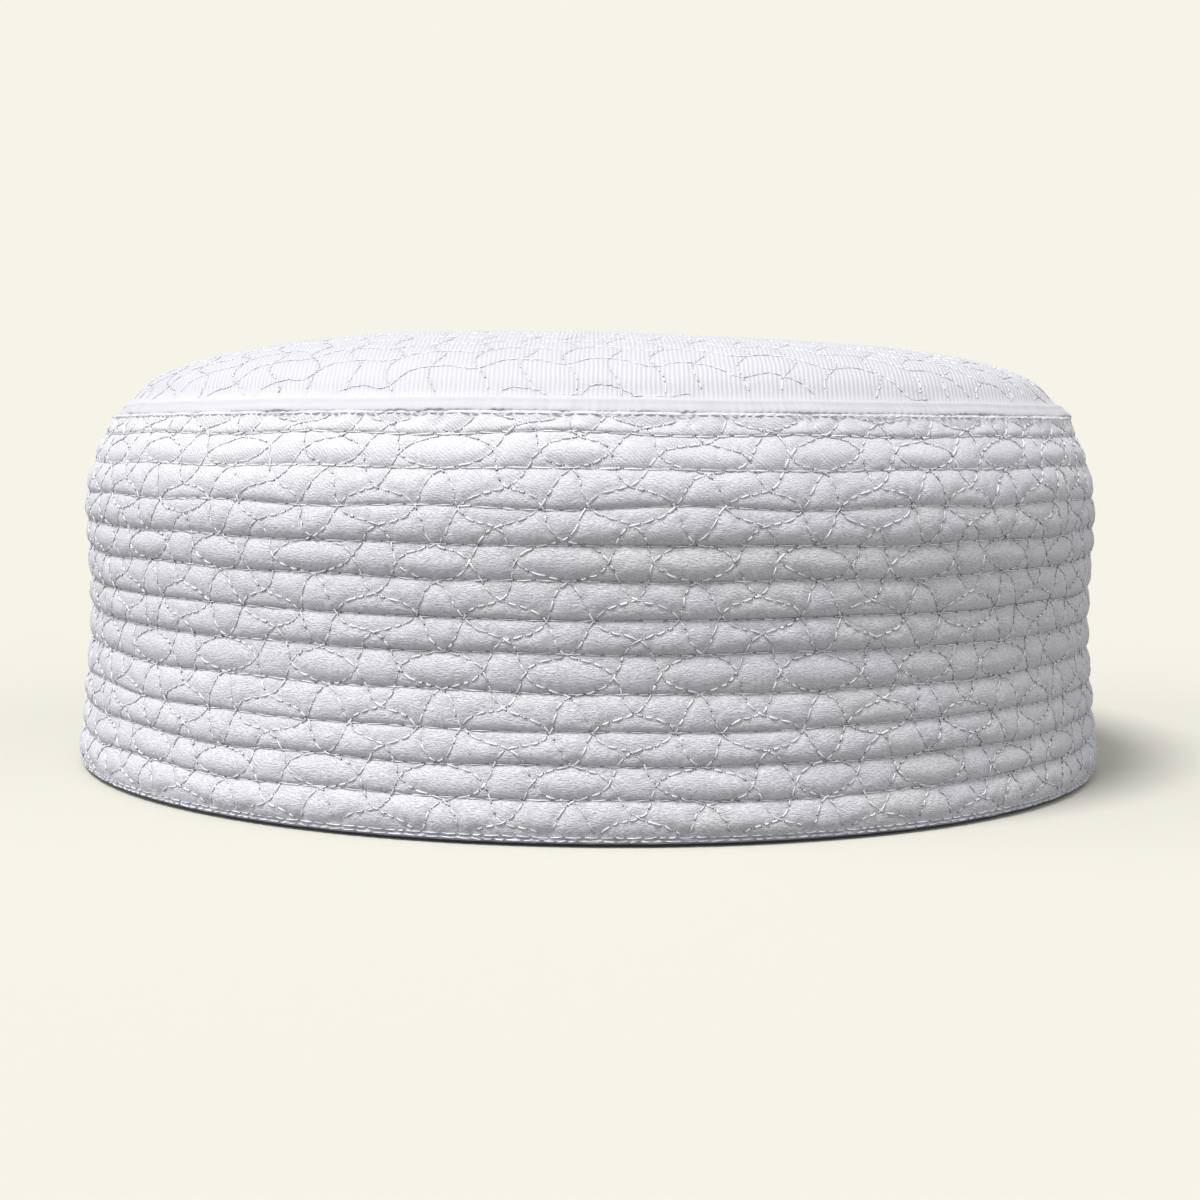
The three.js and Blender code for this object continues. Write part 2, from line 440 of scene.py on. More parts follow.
# A band line's steps in half periods and how many it runs for, how much it
# strays from its place in half periods and in height, how far the ovals bunch
# together round the cap, how far the lines drift, and where they stop
LINE_STEP = 0.018
LINE_END = 10.0
LINE_STRAY = 0.012
STRAY_HEIGHT = 8.0 * MM
BUNCHING = 0.0125
DRIFT_ROUND = 0.6 * MM
DRIFT_UP = 0.42 * MM
LINE_MARGIN = 0.004
FEWEST_POINTS = 12

# How a band line bends past an oval, across and down, where it starts, and how
# many rows to each side soften its height
BEND_ACROSS = (0.072, 0.036)
BEND_DOWN = (0.0727, 0.058)
LINE_START = -0.3545
ROW_SOFTENING = (-0.3, 0.0, 0.3)

# Where the crown's quilting lines swing furthest, where its cells are widest and
# where its level lines are highest
CROWN_SWAY_Y = -68.9 * MM
CROWN_SWELL_Y = -73.2 * MM
CROWN_WAVE_X = 2.2 * MM

# How far the crown's lines swing, swell, rise, dip and how far round that lies,
# how far they stray and drift, how finely they are stepped, how far from the
# crown's edge they stop, and the fewest points that are kept as a line
CROWN_SWING = 1.0 * MM
CROWN_CELL_SWELL = 0.55 * MM
CROWN_LINE_RISE = 1.5 * MM
CROWN_LINE_DIP = 0.35 * MM
CROWN_DIP_PHASE = 0.6
CROWN_STRAY = 0.15 * MM
CROWN_DRIFT = 0.45 * MM
CROWN_STEP = 0.17 * MM
CROWN_MARGIN = 0.6 * MM
FEWEST_CROWN_POINTS = 30


def oval_line(t):
    """One quilting line past its ovals, in half periods across and down."""
    wave = 1.0 - np.cos(TURN * t)
    swing = np.sin(TURN * t)
    across = -t - BEND_ACROSS[0] * wave - BEND_ACROSS[1] * swing
    down = LINE_START + t - BEND_DOWN[0] * wave - BEND_DOWN[1] * swing
    return across, down


def band_runs(form):
    """The band's quilting lines as angles and shares of its height."""
    half_turns = 2 * form.quilting.ovals_round
    rows = np.arange(len(OVAL_ROWS)) - 1.0
    heights = np.array([row.height for row in OVAL_ROWS]) * MM
    slips = np.array([row.slip for row in OVAL_ROWS]) * MM
    around_drift = Wander(21, (5, 19), (90, 260), whole=True)
    height_drift = Wander(22, (5, 19), (90, 260), whole=True)
    draw = np.random.default_rng(23)
    t = np.arange(0.0, LINE_END, LINE_STEP)
    across, down = oval_line(t)
    runs = []
    for side in (-1.0, 1.0):
        for upright in (-1.0, 1.0):
            for start in range(0, half_turns, 2):
                row = rows[0] + down if upright > 0 else rows[-1] - down
                nudge = draw.normal(0.0, LINE_STRAY, 2)
                near = [np.interp(row + off, rows, heights) for off in ROW_SOFTENING]
                height = sum(near) / len(near) + nudge[0] * STRAY_HEIGHT
                slip = np.interp(row, rows, slips) / form.sizes.outer_radius
                turn = (start + side * across + nudge[1]) * TURN / half_turns + slip
                angle = turn + BUNCHING * np.sin(turn) - math.pi / 2
                drift = DRIFT_ROUND / form.sizes.outer_radius
                angle = angle + drift * around_drift(angle, height)
                height = height + DRIFT_UP * height_drift(angle, height)
                share = form.share_at(height)
                kept = (share > LINE_MARGIN) & (share < 1.0 - LINE_MARGIN)
                angle = (angle + math.pi) % TURN - math.pi
                broken = np.flatnonzero(np.abs(np.diff(angle[kept])) > math.pi) + 1
                for a, s in zip(np.split(angle[kept], broken), np.split(share[kept], broken)):
                    if len(a) > FEWEST_POINTS:
                        runs.append(Run(a, s))
    return runs


def crown_runs(form):
    """The crown's quilting lines: some run to the back and some across, all in waves."""
    pitch = form.quilting.crown_pitch
    row = form.quilting.crown_row
    reach = int(form.crown_radius / min(pitch / 2, row)) + 2
    drift_x = Wander(31, (40, 130), (40, 130))
    drift_y = Wander(32, (40, 130), (40, 130))
    draw = np.random.default_rng(33)
    t = np.arange(-form.crown_radius, form.crown_radius, CROWN_STEP)
    wave = TURN * (t - CROWN_WAVE_X) / pitch
    dip = CROWN_LINE_DIP * np.cos(2.0 * wave - CROWN_DIP_PHASE)
    rise = CROWN_LINE_RISE * np.cos(wave) - dip
    lines = []
    for k in range(-reach, 2 * reach):
        nudge = draw.normal(0.0, CROWN_STRAY)
        if k <= reach:
            sway = CROWN_SWING * np.cos(TURN * (t - CROWN_SWAY_Y) / (2.0 * row))
            swell = CROWN_CELL_SWELL * (-1) ** k * np.cos(TURN * (t - CROWN_SWELL_Y) / (2.0 * row))
            lines.append(((k + 0.5) * pitch / 2.0 + sway + swell + nudge, t))
        lines.append((t, CROWN_SWAY_Y + k * row + rise + nudge))
    runs = []
    for x, y in lines:
        x = x + CROWN_DRIFT * drift_x(x, y)
        y = y + CROWN_DRIFT * drift_y(x, y)
        kept = np.hypot(x, y) < form.crown_radius - CROWN_MARGIN
        if kept.sum() > FEWEST_CROWN_POINTS:
            runs.append(Run(x[kept], y[kept]))
    return runs


class TuckField:
    """How near each place of a cloth is to its closest quilting line."""

    def __init__(self, points, travelled):
        self.tree = KDTree(len(points))
        for i, (a, b) in enumerate(points):
            self.tree.insert((a, b, 0.0), i)
        self.tree.balance()
        self.travelled = travelled

    def look_up(self, a, b):
        """Distances to the closest line, and how far along it that is."""
        distance = np.empty(len(a))
        index = np.empty(len(a), dtype=int)
        find = self.tree.find
        for i, (p, q) in enumerate(zip(a.tolist(), b.tolist())):
            _, index[i], distance[i] = find((p, q, 0.0))
        return distance, self.travelled[index]


def travel(points):
    step = np.linalg.norm(np.diff(points, axis=0), axis=-1)
    return np.concatenate(([0.0], np.cumsum(step)))


# How far past the turn of the cloth its lines are looked for again
LAP_MARGIN = 12 * MM


def line_points(runs, across=1.0, up=1.0):
    flats = [np.stack((run.first * across, run.second * up), axis=-1) for run in runs]
    return np.concatenate(flats), np.concatenate([travel(flat) for flat in flats])


def band_tucks(form, runs):
    flat, gone = line_points(runs, form.sizes.outer_radius, form.sizes.band_height)
    lap = TURN * form.sizes.outer_radius
    low = flat[:, 0] < -lap / 2 + LAP_MARGIN
    high = flat[:, 0] > lap / 2 - LAP_MARGIN
    over = flat[low] + (lap, 0.0)
    under = flat[high] - (lap, 0.0)
    gone = np.concatenate((gone, gone[low], gone[high]))
    return TuckField(np.concatenate((flat, over, under)), gone)


def crown_tucks(runs):
    return TuckField(*line_points(runs))


# How sharply a tuck falls off, how far from its line the cloth still puckers and
# how far apart the puckers are
TUCK_POWER = 1.25
PUCKER_REACH = 1.7 * MM
PUCKER_PITCH = 1.95 * MM


def drawn_in(quilting, tucks, a, b, out, strength):
    """How near the outer points are to a quilting line, and how they pucker."""
    distance, gone = tucks.look_up(a[out], b[out])
    tuck = np.zeros(len(out))
    gather = np.zeros(len(out))
    tuck[out] = np.exp(-((distance / quilting.tuck_width) ** TUCK_POWER))
    fade = np.exp(-((distance / PUCKER_REACH) ** 2))
    gather[out] = strength * quilting.pucker * np.cos(TURN * gone / PUCKER_PITCH) * fade
    return tuck, gather


def new_object(name, data):
    made = bpy.data.objects.new(name, data)
    bpy.context.scene.collection.objects.link(made)
    return made


def mesh_of(bm, name):
    mesh = bpy.data.meshes.new(name)
    bm.to_mesh(mesh)
    bm.free()
    return mesh


def new_piece(name, mesh, material, slot, *stands_for):
    piece = new_object(name, mesh)
    mesh.materials.clear()
    mesh.materials.append(material)
    mesh.shade_smooth()
    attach(piece, BODY)
    if stands_for:
        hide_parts(*stands_for)
    return piece


def places_of(mesh):
    flat = np.empty(len(mesh.vertices) * 3, dtype=np.float32)
    mesh.vertices.foreach_get("co", flat)
    return flat.reshape(-1, 3).astype(float)


def move_to(mesh, places):
    mesh.vertices.foreach_set("co", np.asarray(places, dtype=np.float32).ravel())
    mesh.update()


def whole_numbers(mesh, name):
    values = np.empty(len(mesh.vertices), dtype=np.float32)
    mesh.attributes[name].data.foreach_get("value", values)
    return np.rint(values).astype(int)


def write_values(mesh, name, values):
    attribute = mesh.attributes.new(name, "FLOAT", "POINT")
    attribute.data.foreach_set("value", np.asarray(values, dtype=np.float32))


def spun_ring(name, outline, sectors, cuts):
    """A closed ring turned from an outline, whose points keep their numbers."""
    bm = bmesh.new()
    station = bm.verts.layers.float.new("station")
    verts = []
    for i, (radius, height) in enumerate(outline):
        vert = bm.verts.new((radius, 0.0, height))
        vert[station] = float(i)
        verts.append(vert)
    edges = [bm.edges.new((a, b)) for a, b in zip(verts, verts[1:] + verts[:1])]
    bmesh.ops.spin(
        bm,
        geom=verts + edges,
        cent=(0.0, 0.0, 0.0),
        axis=(0.0, 0.0, 1.0),
        dvec=(0.0, 0.0, 0.0),
        angle=TURN,
        steps=sectors,
        use_merge=True,
        use_duplicate=False,
    )
    hoops = [e for e in bm.edges if abs(e.verts[0][station] - e.verts[1][station]) < 0.1]
    bmesh.ops.subdivide_edges(bm, edges=hoops, cuts=cuts, use_grid_fill=True)
    bmesh.ops.recalc_face_normals(bm, faces=bm.faces[:])
    return mesh_of(bm, name)


def stations_of(mesh):
    """Each point's number on its outline, and its angle round the cap."""
    places = places_of(mesh)
    return whole_numbers(mesh, "station"), np.arctan2(places[:, 1], places[:, 0])


# How the band's top edge rolls in under the welt, in millimetres in and up
TOP_ROLL = ((0.05, 0.20), (0.20, 0.34), (0.60, 0.42))

# How many points go across each cord outside and how much they crowd towards its
# stitch lines, where they lie on the lining, how far in the lining is spun, the
# steepest edge that is shaded smooth, and how near the top seam the painted shade
# in its groove fades out, over how much height and by how much
CORD_STEPS = 11
CORD_CLUSTER = 0.05
LINING_STATIONS = (0.0, 0.5)
LINING_IN = 3.0 * MM
SMOOTH_UP_TO = math.radians(75.0)
SEAM_SHARE = 0.975
SEAM_FADE = 0.02
SEAM_LIGHTER = 0.8

# The puckers along the straight seams: how many there are in a radian, how they
# bunch, how often, and how strong they are against the quilting's
ROW_PUCKERS = 170.0
ROW_BUNCHING = 3.0
ROW_BUNCHES = 23.0
ROW_PUCKER_STRENGTH = 0.5


def cord_stations(steps):
    """Places across one cord, closer together near its stitch lines."""
    even = np.arange(steps) / steps
    return even - CORD_CLUSTER * np.sin(TURN * even)


def band_shares(form, first, last, stations):
    shares = []
    for row in range(first, last):
        low, high = form.lines[row], form.lines[row + 1]
        shares.extend(low + t * (high - low) for t in stations)
    shares.append(form.lines[last])
    return np.array(shares)


def make_band_part(name, form, tucks, first, last, material):
    outside = band_shares(form, first, last, cord_stations(CORD_STEPS))
    inside = band_shares(form, first, last, LINING_STATIONS)[::-1]
    inward, upward = np.zeros(len(outside)), np.zeros(len(outside))
    if last == len(CORD_SHARES):
        outside = np.concatenate((outside, np.ones(len(TOP_ROLL))))
        inward = np.concatenate((inward, [point[0] * MM for point in TOP_ROLL]))
        upward = np.concatenate((upward, [point[1] * MM for point in TOP_ROLL]))
    shares = np.concatenate((outside, inside))
    outer = np.concatenate((np.ones(len(outside), bool), np.zeros(len(inside), bool)))
    sizes = form.sizes
    wall = sizes.outer_radius - np.where(outer, 0.0, LINING_IN)
    wall[: len(outside)] -= inward
    heights = form.height_at(shares)
    heights[: len(outside)] += upward
    cuts = form.quilting.columns // SECTORS - 1
    mesh = spun_ring(name, list(zip(wall, heights)), SECTORS, cuts)
    number, angle = stations_of(mesh)
    share = shares[number]
    out = outer[number]
    flat = (angle * sizes.outer_radius, share * sizes.band_height)
    tuck, gather = drawn_in(form.quilting, tucks, *flat, out, 1.0)
    groove = 1.0 - form.fullness(share)
    row_gather = np.cos(angle * ROW_PUCKERS + ROW_BUNCHING * np.sin(angle * ROW_BUNCHES))
    row_gather = ROW_PUCKER_STRENGTH * form.quilting.pucker * row_gather * groove ** 2
    gather[out] += row_gather[out]
    places = form.lining_point(angle, share)
    rolled = number[out]
    places[out] = form.band_point(angle[out], share[out], tuck[out], gather[out] - inward[rolled])
    places[out, 2] += upward[rolled]
    move_to(mesh, places)
    # Painted shade: how far the cloth is darkened near its quilting lines and in the grooves
    # between cords, less on the flatter top cords and fading out near the top seam
    depth = form.lift_of_cord(share) ** 2
    write_values(mesh, "tuck", tuck * depth)
    groove = groove ** 3 * (1.0 - SEAM_LIGHTER * eased((share - SEAM_SHARE) / SEAM_FADE))
    write_values(mesh, "painted_shade", np.where(out, groove, 0.0) * depth)
    mesh.set_sharp_from_angle(angle=SMOOTH_UP_TO)
    piece = new_piece(name, mesh, material, "band_cloth", "band")
    return piece


# How much the crown's points crowd towards its edge, where the rings of its
# inner face lie as shares of the way out, and how strong its puckers are against
# the band's
RIM_CLUSTER = 0.25
CROWN_RINGS = (0.985, 0.96, 0.92, 0.85, 0.75, 0.6, 0.45, 0.3, 0.15, 0.0)
CROWN_PUCKER_STRENGTH = 0.6


def crown_sheet(cuts):
    """A square grid closed underneath by rings, which are numbered from its edge in."""
    bm = bmesh.new()
    bmesh.ops.create_grid(bm, x_segments=cuts, y_segments=cuts, size=1.0)
    rim = [edge for edge in bm.edges if edge.is_boundary]
    level = bm.verts.layers.float.new("level")
    for i in range(len(CROWN_RINGS) + 1):
        made = bmesh.ops.extrude_edge_only(bm, edges=rim)["geom"]
        rim = [e for e in made if isinstance(e, bmesh.types.BMEdge) and e.is_boundary]
        for vert in {v for e in rim for v in e.verts}:
            vert[level] = float(i + 1)
    last = {v for e in rim for v in e.verts}
    bmesh.ops.pointmerge(bm, verts=list(last), merge_co=(0.0, 0.0, 0.0))
    bmesh.ops.recalc_face_normals(bm, faces=bm.faces[:])
    return mesh_of(bm, "crown_cloth")


def make_crown(form, tucks, material):
    sizes = form.sizes
    mesh = crown_sheet(form.quilting.crown_cuts)
    number = whole_numbers(mesh, "level")
    raw = places_of(mesh)
    u, v = raw[:, 0], raw[:, 1]
    x = u * np.sqrt(1.0 - v * v / 2.0)
    y = v * np.sqrt(1.0 - u * u / 2.0)
    spread = form.crown_radius * (1.0 + RIM_CLUSTER * (1.0 - np.hypot(x, y)))
    x = x * spread
    y = y * spread
    out = number == 0
    tuck, gather = drawn_in(form.quilting, tucks, x, y, out, CROWN_PUCKER_STRENGTH)
    places = form.crown_point(x, y, tuck, gather)
    inner = 1.0 - sizes.crown_thickness / form.crown_radius
    hollow = (sizes.crown_rise - sizes.crown_thickness) / sizes.crown_rise
    shares = np.array((1.0, 1.0) + CROWN_RINGS)[np.maximum(number, 0)]
    radius = np.interp(shares, form.arc_share, form.arc_radius) * form.crown_radius * inner
    rise = np.interp(shares, form.arc_share, form.arc_height) * sizes.crown_rise * hollow
    below = form.around(np.arctan2(y, x), radius, form.crown_foot + rise)
    places[~out] = below[~out]
    move_to(mesh, places)
    # The tuck share is written so that painted shade can darken the cloth near its quilting lines
    write_values(mesh, "tuck", tuck)
    piece = new_piece("crown_cloth", mesh, material, "crown_cloth", "crown")
    return piece


# The welt from under its lip, over the fold and in under the crown: how far in
# from the lip and how high above the welt's own bottom each point lies
WELT_FOLD = (
    (0.95, -0.16),
    (0.60, -0.14),
    (0.34, -0.11),
    (0.14, -0.04),
    (0.03, 0.07),
    (0.00, 0.22),
    (0.08, 0.42),
    (0.28, 0.68),
    (0.58, 0.95),
    (0.94, 1.26),
    (1.20, 1.54),
    (1.40, 1.86),
    (1.62, 2.06),
    (2.10, 2.13),
    (2.45, 2.13),
    (2.80, 2.00),
)

# How much nearer the sewn lip lies to the band than the frame's, how finely it is
# divided, how much its edge waves, scallops and gathers, where under the lip it is
# drawn up and down, and how much it does that
LIP_DRAWN_IN = 0.27 * MM
WELT_CUTS = 23
LIP_WAVE = 0.10 * MM
LIP_SCALLOP = 0.09 * MM
LIP_GATHER = 0.07 * MM
UNDER_HEIGHT = 1.0 * MM
UNDER_REACH = 0.7 * MM
UNDER_FADE = 0.4 * MM
UNDER_SCALLOP = 0.10 * MM
UNDER_GATHER = 0.12 * MM
UNDER_DROP = 0.05 * MM


def make_welt(form, material):
    sizes = form.sizes
    lip = float(form.stitch_radius(1.0)) + sizes.welt_lip - LIP_DRAWN_IN
    inner = form.crown_radius - sizes.crown_thickness - sizes.welt_inset
    bottom = form.welt_bottom
    outline = [(inner, bottom + WELT_FOLD[0][1] * MM)]
    outline += [(lip - inward * MM, bottom + up * MM) for inward, up in WELT_FOLD]
    outline.append((inner, bottom + WELT_FOLD[-1][1] * MM))
    mesh = spun_ring("seam_welt_cloth", outline, SECTORS, WELT_CUTS)
    number, angle = stations_of(mesh)
    radii, heights = np.array(outline)[number].T
    outward = np.clip((radii - form.crown_radius) / (lip - form.crown_radius), 0.0, 1.0)
    under = np.clip((bottom + UNDER_HEIGHT - heights) / UNDER_HEIGHT, 0.0, 1.0)
    under = under * np.clip((radii - lip + UNDER_REACH) / UNDER_FADE, 0.0, 1.0)
    wave = Wander(41, (4, 30), (1, 2), whole=True)
    scallop = Wander(43, (55, 130), (1, 2), whole=True)
    gather = Wander(42, (240, 470), (1, 2), whole=True)
    swing = LIP_WAVE * wave(angle, 0.0) + LIP_SCALLOP * scallop(angle, 0.0)
    swing = swing + LIP_GATHER * gather(angle, 0.0)
    drawn = UNDER_SCALLOP * scallop(angle, 500.0) + UNDER_GATHER * gather(angle, 700.0)
    radii = radii + outward * (sizes.welt_lip * form.welt_reach(angle) + swing)
    heights = heights + outward * LIP_WAVE * wave(angle, 900.0) + under * (drawn - UNDER_DROP)
    move_to(mesh, form.around(angle, radii, heights))
    write_values(mesh, "painted_shade", np.zeros(len(number)))
    return new_piece("seam_welt_cloth", mesh, material, "welt_cloth", "seam_welt")


# The outer half of the hem's cross-section, from the floor up: how far in from
# its outer face and how high each point lies. The inner half mirrors it.
HEM_EDGE = (
    (1.36, 0.00),
    (1.30, 0.16),
    (1.12, 0.34),
    (0.80, 0.46),
    (0.46, 0.54),
    (0.20, 0.66),
    (0.05, 0.82),
    (0.00, 1.00),
    (0.02, 1.16),
    (0.12, 1.27),
)

# How finely the hem is divided, below which height its edge carries painted shade,
# over how much height that fades and how dark that painted shade is, from which
# height its face is loose, over how much that begins, and how much it waves, gathers and rises
HEM_CUTS = 15
HEM_SHADE_UNDER = 0.62 * MM
HEM_SHADE_FADE = 0.2 * MM
HEM_SHADE = 0.85
HEM_LOOSE_FROM = 0.4 * MM
HEM_LOOSE_FADE = 0.3 * MM
HEM_WAVE = 0.08 * MM
HEM_GATHER = 0.06 * MM
HEM_RISE = 0.05 * MM


def make_hem(form, material):
    sizes = form.sizes
    middle = float(form.stitch_radius(0.0)) - sizes.wall_at_stitches / 2
    half = sizes.hem_thickness / 2
    outline = [(middle + half - inward * MM, height * MM) for inward, height in HEM_EDGE]
    outline += [(middle - half + inward * MM, height * MM) for inward, height in HEM_EDGE[::-1]]
    mesh = spun_ring("hem_binding_cloth", outline, SECTORS, HEM_CUTS)
    number, angle = stations_of(mesh)
    radii, heights = np.array(outline)[number].T
    wave = Wander(51, (30, 160), (1, 2), whole=True)
    gather = Wander(52, (200, 420), (1, 2), whole=True)
    loose = (radii > middle) * np.clip((heights - HEM_LOOSE_FROM) / HEM_LOOSE_FADE, 0.0, 1.0)
    # Painted shade: the hem's edge is darkened towards the floor, where shade falls
    shade = HEM_SHADE * np.clip((HEM_SHADE_UNDER - heights) / HEM_SHADE_FADE, 0.0, 1.0)
    swing = HEM_WAVE * wave(angle, 0.0) + HEM_GATHER * gather(angle, heights / MM)
    heights = heights + loose * HEM_RISE * wave(angle, 300.0)
    move_to(mesh, form.around(angle, radii + loose * swing, heights))
    write_values(mesh, "painted_shade", shade)
    return new_piece("hem_binding_cloth", mesh, material, "hem_cloth", "hem_binding")


# One kind of stitch: its length and how much that varies, the gap to the next one,
# its half width and half height, how high its ends and its middle lie over the
# cloth, and how far the painted shade of its needle holes reaches in along it
Stitch = namedtuple("Stitch", "length spread gap width height dive crest hole")
QUILT_STITCH = Stitch(
    1.70 * MM, 0.26, 0.20 * MM, 0.135 * MM, 0.13 * MM, -0.04 * MM, 0.20 * MM, 0.24 * MM
)
CROWN_STITCH = Stitch(
    1.80 * MM, 0.22, 0.14 * MM, 0.12 * MM, 0.09 * MM, -0.01 * MM, 0.12 * MM, 0.20 * MM
)
ROW_STITCH = Stitch(
    3.20 * MM, 0.18, 0.14 * MM, 0.12 * MM, 0.11 * MM, -0.01 * MM, 0.18 * MM, 0.27 * MM
)
HEM_STITCH = Stitch(
    1.80 * MM, 0.28, 0.30 * MM, 0.11 * MM, 0.10 * MM, -0.03 * MM, 0.14 * MM, 0.14 * MM
)
SEAM_STITCH = Stitch(
    1.30 * MM, 0.36, 0.35 * MM, 0.14 * MM, 0.13 * MM, 0.00 * MM, 0.14 * MM, 0.00 * MM
)


def repeated_bead(name, count):
    """One mesh of many equal beads, each with five stations along its length."""
    bm = bmesh.new()
    bmesh.ops.create_uvsphere(bm, u_segments=4, v_segments=4, radius=1.0)
    seed = mesh_of(bm, name)
    one = places_of(seed)
    holder = new_object(name, seed)
    array = holder.modifiers.new("row", "ARRAY")
    array.count = count
    array.use_relative_offset = False
    array.use_constant_offset = True
    array.constant_offset_displace = (3.0, 0.0, 0.0)
    bpy.context.view_layer.update()
    shown = holder.evaluated_get(bpy.context.evaluated_depsgraph_get())
    mesh = bpy.data.meshes.new_from_object(shown)
    bpy.data.objects.remove(holder)
    bpy.data.meshes.remove(seed)
    return mesh, one


# Where a stitch's five stations lie along it, how high each one rises between its
# ends and its middle, and how far each leans to the side
STATIONS = np.array((0.0, 0.07, 0.5, 0.93, 1.0))
NEAR_END = 0.35
LEANS = np.array((-1.0, -0.7, 0.0, 0.7, 1.0))

# How much stitches vary: the shortest and longest, how much their lift varies and
# its least and most, the same for their width, and how far they lie askew
SHORTEST, LONGEST = 0.6, 1.5
LIFT_SPREAD, LEAST_LIFT, MOST_LIFT = 0.24, 0.4, 1.6
WIDTH_SPREAD, LEAST_WIDTH, MOST_WIDTH = 0.18, 0.55, 1.5
STITCH_SKEW = 0.085 * MM
BLUNTNESS = 1.3


def stitch_places(runs, place, kind, seed):
    """Where each stitch's five stations lie along its run."""
    draw = np.random.default_rng(seed)
    firsts, seconds = [], []
    for run in runs:
        gone = travel(place(run.first, run.second))
        start = draw.uniform(0.0, kind.length)
        pitches = draw.normal(1.0, kind.spread, int(gone[-1] / kind.length) + 8)
        lengths = kind.length * np.clip(pitches, SHORTEST, LONGEST)
        starts = start + np.concatenate(([0.0], np.cumsum(lengths + kind.gap)))[:-1]
        kept = starts + lengths < gone[-1]
        spots = starts[kept, None] + lengths[kept, None] * STATIONS[None, :]
        firsts.append(np.interp(spots, gone, run.first))
        seconds.append(np.interp(spots, gone, run.second))
    return np.concatenate(firsts), np.concatenate(seconds)


def lay_thread(name, runs, place, steps, kind, seed, material):
    """Stitches along every run, lying on a surface and diving in at both ends."""
    first, second = stitch_places(runs, place, kind, seed)
    here, out = lie_of(place, first, second, *steps)
    side = unit(np.cross(out, unit(np.gradient(here, axis=1))))
    draw = np.random.default_rng(seed + 1)
    count = len(first)
    shoulder = kind.crest * NEAR_END
    lift = np.array((kind.dive, shoulder, kind.crest, shoulder, kind.dive))
    heave = np.clip(draw.normal(1.0, LIFT_SPREAD, (count, 1)), LEAST_LIFT, MOST_LIFT)
    middle = here + out * (lift[None, :] * heave)[:, :, None]
    sway = draw.normal(0.0, STITCH_SKEW, (count, 1)) * LEANS
    middle = middle + side * sway[:, :, None]
    mesh, one = repeated_bead(name, count)
    station = np.argmin(np.abs((one[:, 2:3] + 1.0) / 2.0 - STATIONS[None, :]), axis=1)
    round_at = np.hypot(one[:, 0], one[:, 1])
    girth = np.minimum(round_at * BLUNTNESS, 1.0)
    scale = np.divide(girth, round_at, out=np.zeros_like(girth), where=round_at > 1e-6)
    widths = np.clip(draw.normal(1.0, WIDTH_SPREAD, (count, 1)), LEAST_WIDTH, MOST_WIDTH)
    over = (one[:, 0] * scale)[None, :] * kind.width * widths
    thick = (one[:, 1] * scale)[None, :] * kind.height
    places = middle[:, station] + side[:, station] * over[:, :, None]
    places = places + out[:, station] * thick[:, :, None]
    move_to(mesh, places.reshape(-1, 3))
    length = np.linalg.norm(here[:, 4] - here[:, 0], axis=-1)[:, None] / MM
    write_values(mesh, "along", (length * (STATIONS[station] - 0.5)[None, :]).ravel())
    write_values(mesh, "clear", np.repeat(length.ravel() / 2.0 - kind.hole / MM, len(one)))
    write_values(mesh, "tone", np.repeat(draw.uniform(0.0, 1.0, count), len(one)))
    return new_piece(name, mesh, material, "thread")


# Heights of the two rows of stitches along the hem, how far below the band's top
# the seam is sewn, and how finely a straight line of sewing is stepped
HEM_ROWS = (0.98 * MM, 1.62 * MM)
SEAM_BELOW = 0.03 * MM
LEVEL_POINTS = 2400

# How far to each side of a point the lie of its cloth is felt, in the surface's
# own two coordinates
BAND_STEPS = (0.003, 0.004)
LINE_STEPS = (0.003, 0.001)
HEM_STEPS = (0.003, 0.05 * MM)
CROWN_STEPS = (0.3 * MM, 0.3 * MM)


def level_runs(seconds):
    """Straight lines of sewing all round the cap."""
    angle = np.linspace(-math.pi, math.pi, LEVEL_POINTS)
    return [Run(angle, np.full_like(angle, second)) for second in seconds]


class Wire:
    """One value in a shader, so that sums on it are written as sums."""

    def __init__(self, board, socket):
        self.board = board
        self.socket = socket

    def math(self, operation, *values):
        return self.board.node("ShaderNodeMath", {"operation": operation}, *values)

    def __add__(self, other):
        return self.math("ADD", self, other)

    def __radd__(self, other):
        return self.math("ADD", other, self)

    def __sub__(self, other):
        return self.math("SUBTRACT", self, other)

    def __rsub__(self, other):
        return self.math("SUBTRACT", other, self)

    def __mul__(self, other):
        return self.math("MULTIPLY", self, other)

    def __rmul__(self, other):
        return self.math("MULTIPLY", other, self)

    def __truediv__(self, other):
        return self.math("DIVIDE", self, other)

    def __rtruediv__(self, other):
        return self.math("DIVIDE", other, self)

    def __pow__(self, other):
        return self.math("POWER", self, other)

    def __rpow__(self, other):
        return self.math("POWER", other, self)

    def wave(self):
        """A sine that runs from 0 to 1."""
        return self.math("SINE", self) * 0.5 + 0.5

    def size(self):
        return self.math("ABSOLUTE", self)

    def held(self):
        return self.board.node("ShaderNodeClamp", {}, self)


